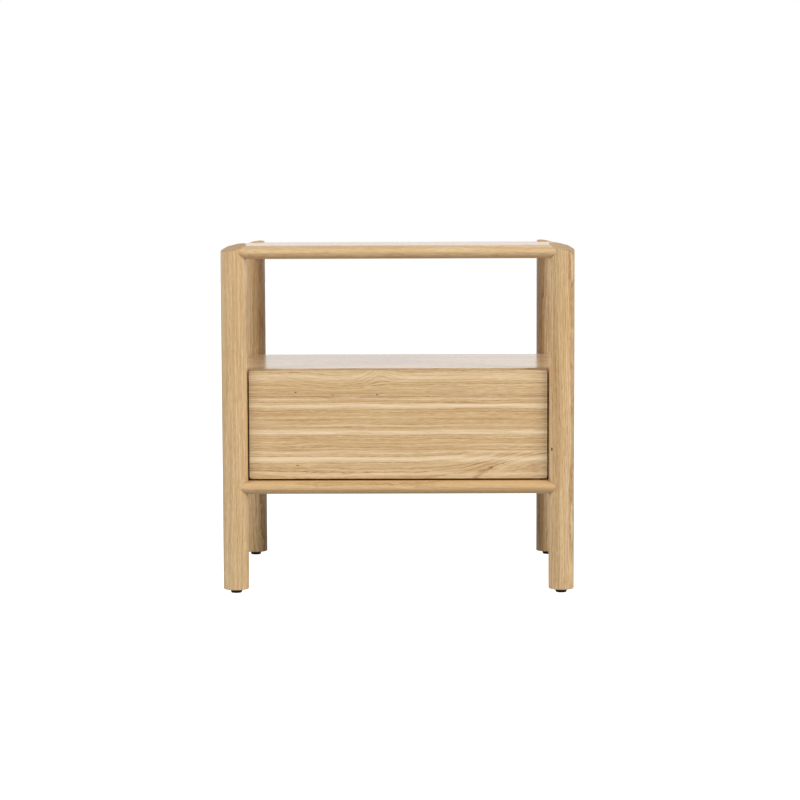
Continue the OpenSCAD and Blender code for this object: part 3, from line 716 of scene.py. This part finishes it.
close.links.new(maths(close, "MULTIPLY_ADD", fine, 0.15, 0.42), close_out["Roughness"])
close.links.new(fine, close_out["Height"])

birch_light, birch_dark = linear(233, 209, 168), linear(204, 170, 122)
close_relief = 0.00008
beech, tree = new_material("beech")
vector = grain_vector(tree, "zxy", (0.0, 0.0, 0.0))
surface = use_group(tree, close, Vector=vector, Through=0.0, Layer=1.0, Edge=0.0, Contrast=0.4,
                    Light=linear(222, 184, 140), Dark=linear(190, 146, 102))
lead_to_shader(tree, surface, close_relief)
dress(beech, "case_dowels", "back_panel_dowels", "box_dowels")


# ------------------------------------------------------------------ packers
# Birch plywood strips, screwed to the side panels, that bring the slides inside the posts.
def birch_plywood(name, order, letter, low, high, layers):
    """Birch plywood with face grain along the first letter of order, and layers along letter."""
    made, tree = new_material(name)
    axis = "xyz".index(letter)
    spot = new_node(tree, "ShaderNodeTexCoord").outputs
    place = new_node(tree, "ShaderNodeSeparateXYZ", {0: spot["Object"]}).outputs[axis]
    normal = new_node(tree, "ShaderNodeSeparateXYZ", {0: spot["Normal"]}).outputs[axis]
    through = maths(tree, "SUBTRACT", place, low[axis])
    edge = maths(tree, "LESS_THAN", maths(tree, "ABSOLUTE", normal), 0.5)
    vector = grain_vector(tree, order, (0.0, 0.0, 0.0))
    layer = (high[axis] - low[axis]) / layers
    surface = use_group(tree, close, Vector=vector, Through=through, Edge=edge, Layer=layer,
                        Contrast=0.5, Light=birch_light, Dark=birch_dark)
    lead_to_shader(tree, surface, close_relief)
    return made


packer_ease = 0.0006
for side in ("left", "right"):
    name = "slide_packer_" + side
    low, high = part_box(name)
    ply = birch_plywood("birch_ply_" + name, "yzx", "x", low, high, 9)
    strip = eased_box(name + "_strip", low, high, packer_ease, 2)
    hand_over(strip, ply, "frame", "birch_plywood", name)


# ------------------------------------------------------------------ slides
# Zinc-plated steel slides in three members, each bent from strip to a channel, with balls
# between them in thin cages. The outer member is screwed to its packer, the inner to the box.
slide_steel, tree = new_material("slide_steel")
surface = use_group(tree, steel, Brush=(2200.0, 60.0, 2200.0), Color=linear(190, 194, 197),
                    Spotted=linear(164, 169, 174), Roughness=0.3)
lead_to_shader(tree, surface, steel_relief, metallic=1.0)

ball_steel, tree = new_material("ball_steel")
surface = use_group(tree, steel, Brush=(50.0, 50.0, 50.0), Color=linear(214, 216, 218),
                    Spotted=linear(200, 203, 206), Roughness=0.16)
lead_to_shader(tree, surface, steel_relief / 4, metallic=1.0)

dress(slide_steel, "slide_outer_left", "slide_outer_right", "slide_middle_left", "slide_middle_right",
      "slide_inner_left", "slide_inner_right", "outer_ball_cages", "inner_ball_cages")
dress(ball_steel, "outer_balls", "inner_balls")


# ------------------------------------------------------------------ drawer box
# Four birch plywood boards, dowelled at the corners, with a thin bottom let into grooves.
# Each board's grain, the axis its layers are counted along, how many there are, and its eased edge
box_boards = {
    "box_front": ("xzy", "y", 9, 0.0009),
    "box_back": ("xzy", "y", 9, 0.0009),
    "box_side_left": ("yzx", "x", 9, 0.0009),
    "box_side_right": ("yzx", "x", 9, 0.0009),
    "box_bottom": ("xyz", "z", 5, 0.0004),
}
for name, (order, letter, layers, ease) in box_boards.items():
    low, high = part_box(name)
    ply = birch_plywood("birch_ply_" + name, order, letter, low, high, layers)
    board = eased_box(name + "_ply", low, high, ease, 2)
    hand_over(board, ply, "drawer", "birch_plywood", name)


# ------------------------------------------------------------------ drawer front
# Four staves of oak, 42 mm high, glued one over the other. The upper one has grain that dips
# and swirls, the lowest opens into a pointed figure at the right, and there are a few pin knots.
low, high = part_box("drawer_front")
corner_round = 0.003
front_ease = 0.0009
front = solid_box("drawer_front_glued", low, high)
edit(front)
pick(front, "edges", lambda m, e: abs((e.verts[0].co - e.verts[1].co).y) > 0.01)
bpy.ops.mesh.bevel(offset=corner_round, segments=6, affect="EDGES")
pick(front, "edges", lambda m, e: abs(e.verts[0].co.y - e.verts[1].co.y) < 1e-6)
bpy.ops.mesh.bevel(offset=front_ease, segments=3, affect="EDGES")
done(front)
smooth(front)
front_look, tree = new_material("oak_drawer_front")
front_w, front_h = high.x - low.x, high.z - low.z
vector = grain_vector(tree, "xzy", (low.x, low.y, high.z))
apart = new_node(tree, "ShaderNodeSeparateXYZ", {0: vector}).outputs
right = maths(tree, "DIVIDE", apart[0], front_w)
down = maths(tree, "DIVIDE", apart[1], -front_h)


def bell(place, centre, width):
    """1 at the centre, falling off smoothly on both sides."""
    off = maths(tree, "DIVIDE", maths(tree, "SUBTRACT", place, centre), width)
    squared = maths(tree, "POWER", maths(tree, "ABSOLUTE", off), 2.0)
    return maths(tree, "EXPONENT", maths(tree, "MULTIPLY", squared, -1.0))


# Each stave, from the top: where its pith lies across it, how deep it lies at the left, and how
# that depth changes near the right end. A colour carries the three over to the shader.
stave_table = ((0.052, 0.026, 0.010), (0.150, 0.030, 0.0), (-0.170, 0.034, 0.0), (-0.0263, 0.0413, -0.055))
stave_of = maths(tree, "FLOOR", maths(tree, "MULTIPLY", down, 4.0))
stave_place = maths(tree, "MULTIPLY_ADD", stave_of, 0.25, 0.125)
offset = 0.5
table = new_node(tree, "ShaderNodeValToRGB", {"Fac": stave_place})
table.color_ramp.interpolation = "CONSTANT"
while len(table.color_ramp.elements) < len(stave_table):
    table.color_ramp.elements.new(0.9)
for number, (element, row) in enumerate(zip(table.color_ramp.elements, stave_table)):
    element.position = number / len(stave_table)
    element.color = (row[0] + offset, row[1] + offset, row[2] + offset, 1.0)
looked_up = new_node(tree, "ShaderNodeSeparateColor", {0: table.outputs["Color"]}).outputs
pith_up, pith_in, pith_lean = (maths(tree, "SUBTRACT", looked_up[i], offset) for i in range(3))
within = maths(tree, "MULTIPLY_ADD", stave_of, front_h / 4, apart[1])
dip = maths(tree, "MULTIPLY", bell(right, 0.30, 0.12), bell(down, 0.12, 0.12))
lift = maths(tree, "MULTIPLY", bell(right, 0.43, 0.05), bell(down, 0.02, 0.09))
lowest = maths(tree, "GREATER_THAN", stave_of, 2.5)
astray = maths(tree, "MULTIPLY", maths(tree, "SUBTRACT", 1.0, bell(right, 1.0, 0.24)), 0.026)
across = maths(tree, "MULTIPLY_ADD", lowest, astray, maths(tree, "SUBTRACT", within, pith_up))
across = maths(tree, "MULTIPLY_ADD", dip, 0.009, maths(tree, "MULTIPLY_ADD", lift, -0.008, across))
opening = maths(tree, "MAXIMUM", maths(tree, "SUBTRACT", apart[0], 0.74 * front_w), 0.0)
deep = maths(tree, "MULTIPLY_ADD", pith_lean, opening, maths(tree, "ADD", pith_in, apart[2]))
along = maths(tree, "MULTIPLY_ADD", stave_of, 1.31, apart[0])
figure_vector = new_node(tree, "ShaderNodeCombineXYZ", {0: along, 1: across, 2: deep}).outputs[0]

# Pale streaks, from the top: their place and width as shares of the height, and their strength.
# A soft band lies a little below each glue joint, a thin line at each, and one near the bottom.
pale_streaks = (
    (0.324, 0.021, 0.95), (0.570, 0.019, 0.95), (0.816, 0.024, 0.85),
    (0.262, 0.008, 0.5), (0.509, 0.008, 0.5), (0.755, 0.009, 0.5), (0.955, 0.016, 0.4),
)
wander = maths(tree, "MULTIPLY", stretched_noise(tree, vector, 9.0, 4.0, 1.0), 0.02)
wavy_down = maths(tree, "ADD", down, wander)
pale = maths(tree, "MULTIPLY", bell(wavy_down, 0.062, 0.035), 0.35)
for place, width, strength in pale_streaks:
    pale = maths(tree, "MULTIPLY_ADD", bell(wavy_down, place, width), strength, pale)
broken = maths(tree, "MULTIPLY_ADD", stretched_noise(tree, vector, 14.0, 300.0, 3.0), 2.4, 0.9)
pale = maths(tree, "MAXIMUM", maths(tree, "MULTIPLY", pale, broken), 0.0)
warp = maths(tree, "MULTIPLY_ADD", lowest, -0.008, 0.012)
tone = maths(tree, "MULTIPLY_ADD", pale, 0.6, -0.14)
figure = use_group(tree, oak, Vector=figure_vector, Ring=0.0033, Warp=warp, Lines=1.35, Tone=tone,
                   Light=oak_light, Middle=oak_middle, Dark=oak_dark)
pale_mix = new_node(tree, "ShaderNodeClamp", {"Value": maths(tree, "MULTIPLY", pale, 0.7)}).outputs[0]
colour = blend(tree, pale_mix, figure["Color"], linear(243, 219, 182))

# Darker lines run along the upper glue joint
dark = maths(tree, "MULTIPLY", bell(wavy_down, 0.213, 0.008), 0.35)
dark = maths(tree, "MULTIPLY_ADD", bell(wavy_down, 0.238, 0.007), 0.6, dark)
dark = maths(tree, "MAXIMUM", maths(tree, "MULTIPLY", dark, broken), 0.0)
dark_mix = new_node(tree, "ShaderNodeClamp", {"Value": dark}).outputs[0]
colour = blend(tree, dark_mix, colour, linear(166, 122, 74))

# Pin knots: their place as shares of the width and of the height from the upper left corner, and
# their radius
pin_knots = (
    (0.157, 0.199, 0.0021), (0.281, 0.226, 0.0016), (0.430, 0.221, 0.0019),
    (0.598, 0.239, 0.0015), (0.162, 0.875, 0.0020),
)
knots = 0.0
for across_share, down_share, size in pin_knots:
    spot = (across_share * front_w, -down_share * front_h, 0.0)
    mark = use_group(tree, knot_group, Vector=vector, Spot=spot, Reach=(1.0, 1.9, 0.0), Size=size)["Mask"]
    knots = maths(tree, "MAXIMUM", mark, knots)
colour = blend(tree, maths(tree, "MULTIPLY", knots, 0.9), colour, knot_brown)
finish_wood(tree, colour, figure["Roughness"], figure["Height"], end_mask(tree, "x"))
hand_over(front, front_look, "drawer", "oak_drawer_front", "drawer_front")


# ------------------------------------------------------------------ push latch
# A moulded housing on the bottom board holds a spring and a plunger with a magnet in its tip.
# The magnet meets a zinc-plated strike plate on the back of the box.
grey_plastic, tree = new_material("grey_plastic")
surface = use_group(tree, plastic, Color=linear(150, 152, 154), Worn=linear(186, 188, 190),
                    Roughness=0.45)
lead_to_shader(tree, surface, plastic_relief)
dress(grey_plastic, "latch_housing")
dress(black_plastic, "latch_plunger")
dress(ball_steel, "latch_magnet")
dress(zinc, "latch_spring", "strike_plate")
